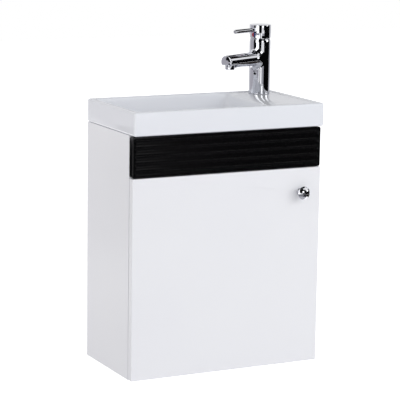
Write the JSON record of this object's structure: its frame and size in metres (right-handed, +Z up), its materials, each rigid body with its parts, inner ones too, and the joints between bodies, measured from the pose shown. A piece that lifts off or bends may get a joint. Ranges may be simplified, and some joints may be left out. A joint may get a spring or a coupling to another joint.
{
  "type": "bathroom vanity unit",
  "caption": "Wall-hung cloakroom vanity: white door cabinet with black fluted fascia, ceramic basin with side tap deck, lever mixer tap, waste and bottle trap.",
  "frame": {"origin": "centre of the hanging rail's wall face, at the height of its two fixing holes", "axes": "+Y into the wall, +Z up, +X to the right of a person facing the door"},
  "size_m": [0.4, 0.2343, 0.6465],
  "materials": {
    "white_lacquer": "smooth satin white lacquer on board",
    "white_board": "white melamine-faced board",
    "black_lacquer": "satin black lacquer on fluted board",
    "glazed_ceramic": "white glaze",
    "chrome": "polished chrome plate",
    "zinc_steel": "zinc-plated",
    "brass": "machined",
    "white_plastic": "moulded polypropylene",
    "grey_plastic": "moulded",
    "black_rubber": "matt",
    "hot_red": "gloss",
    "cold_blue": "gloss"
  },
  "bodies": {
    "cabinet": {"side_panel_left": "white_lacquer", "side_panel_right": "white_lacquer", "bottom_panel": "white_board", "hanging_rail": "white_board", "lower_rail": "white_board", "shelf": "white_board", "cam_lock_1": "zinc_steel", "cam_lock_2": "zinc_steel", "cam_lock_3": "zinc_steel", "cam_lock_4": "zinc_steel", "shelf_pin_left_back": "zinc_steel", "shelf_pin_left_front": "zinc_steel", "shelf_pin_right_back": "zinc_steel", "shelf_pin_right_front": "zinc_steel", "fascia_bracket_left": "zinc_steel", "fascia_bracket_right": "zinc_steel", "hinge_plate_lower": "zinc_steel", "hinge_arm_lower": "zinc_steel", "hinge_pin_lower": "zinc_steel", "hinge_plate_upper": "zinc_steel", "hinge_arm_upper": "zinc_steel", "hinge_pin_upper": "zinc_steel", "body_grub_screw": "zinc_steel", "fixing_stud": "zinc_steel", "clamp_plate": "zinc_steel", "fascia_panel": "black_lacquer", "waste_flange": "chrome", "tap_body": "chrome", "aerator": "chrome", "cartridge_nut": "chrome", "door_bumper_lower": "black_rubber", "door_bumper_upper": "black_rubber", "waste_gasket": "black_rubber", "tap_gasket": "black_rubber", "clamp_washer": "black_rubber", "basin": "glazed_ceramic", "waste_nut": "white_plastic", "trap_inlet_nut": "white_plastic", "trap_body": "white_plastic", "trap_cup": "white_plastic", "trap_outlet_nut": "white_plastic", "outlet_pipe": "white_plastic", "wall_flange": "white_plastic", "cartridge_housing": "white_plastic", "fixing_nut": "brass"},
    "door": {"door": "white_lacquer", "door_knob": "chrome", "knob_screw": "zinc_steel", "hinge_cup_lower": "zinc_steel", "hinge_cup_upper": "zinc_steel"},
    "hinge_link_lower": {"hinge_link_lower": "zinc_steel"},
    "hinge_link_upper": {"hinge_link_upper": "zinc_steel"},
    "waste_plug": {"waste_plug": "chrome"},
    "tap_swivel": {"cartridge_rotor": "grey_plastic"},
    "tap_handle": {"cartridge_stem": "brass", "handle_cap": "chrome", "lever_pin": "chrome", "hot_mark": "hot_red", "cold_mark": "cold_blue"}
  },
  "joints": [
    {"name": "door_swing", "type": "hinge", "parent": "cabinet", "child": "door", "pos_m": [-0.194, -0.205, -0.23545], "axis": [0, 0, -1], "range_deg": [0, 100]},
    {"name": "link_lower_turn", "type": "hinge", "parent": "cabinet", "child": "hinge_link_lower", "pos_m": [-0.18, -0.199, -0.3472], "axis": [0, 0, -1], "range_deg": [0, 95]},
    {"name": "link_upper_turn", "type": "hinge", "parent": "cabinet", "child": "hinge_link_upper", "pos_m": [-0.18, -0.199, -0.1237], "axis": [0, 0, -1], "range_deg": [0, 95]},
    {"name": "tap_turn", "type": "hinge", "parent": "cabinet", "child": "tap_swivel", "pos_m": [0.155, -0.038, 0.1718], "axis": [0, 0, 1], "range_deg": [-45, 45]},
    {"name": "tap_lift", "type": "hinge", "parent": "tap_swivel", "child": "tap_handle", "pos_m": [0.155, -0.038, 0.1718], "axis": [-0.4226, 0.9063, 0], "range_deg": [0, 18]},
    {"name": "waste_plug_slide", "type": "slide", "parent": "cabinet", "child": "waste_plug", "axis": [0, 0, 1], "range_m": [0, 0.007]}
  ],
  "couplings": [
    {"joint": "link_lower_turn", "follows": "door_swing", "ratio": 0.95},
    {"joint": "link_upper_turn", "follows": "door_swing", "ratio": 0.95}
  ]
}
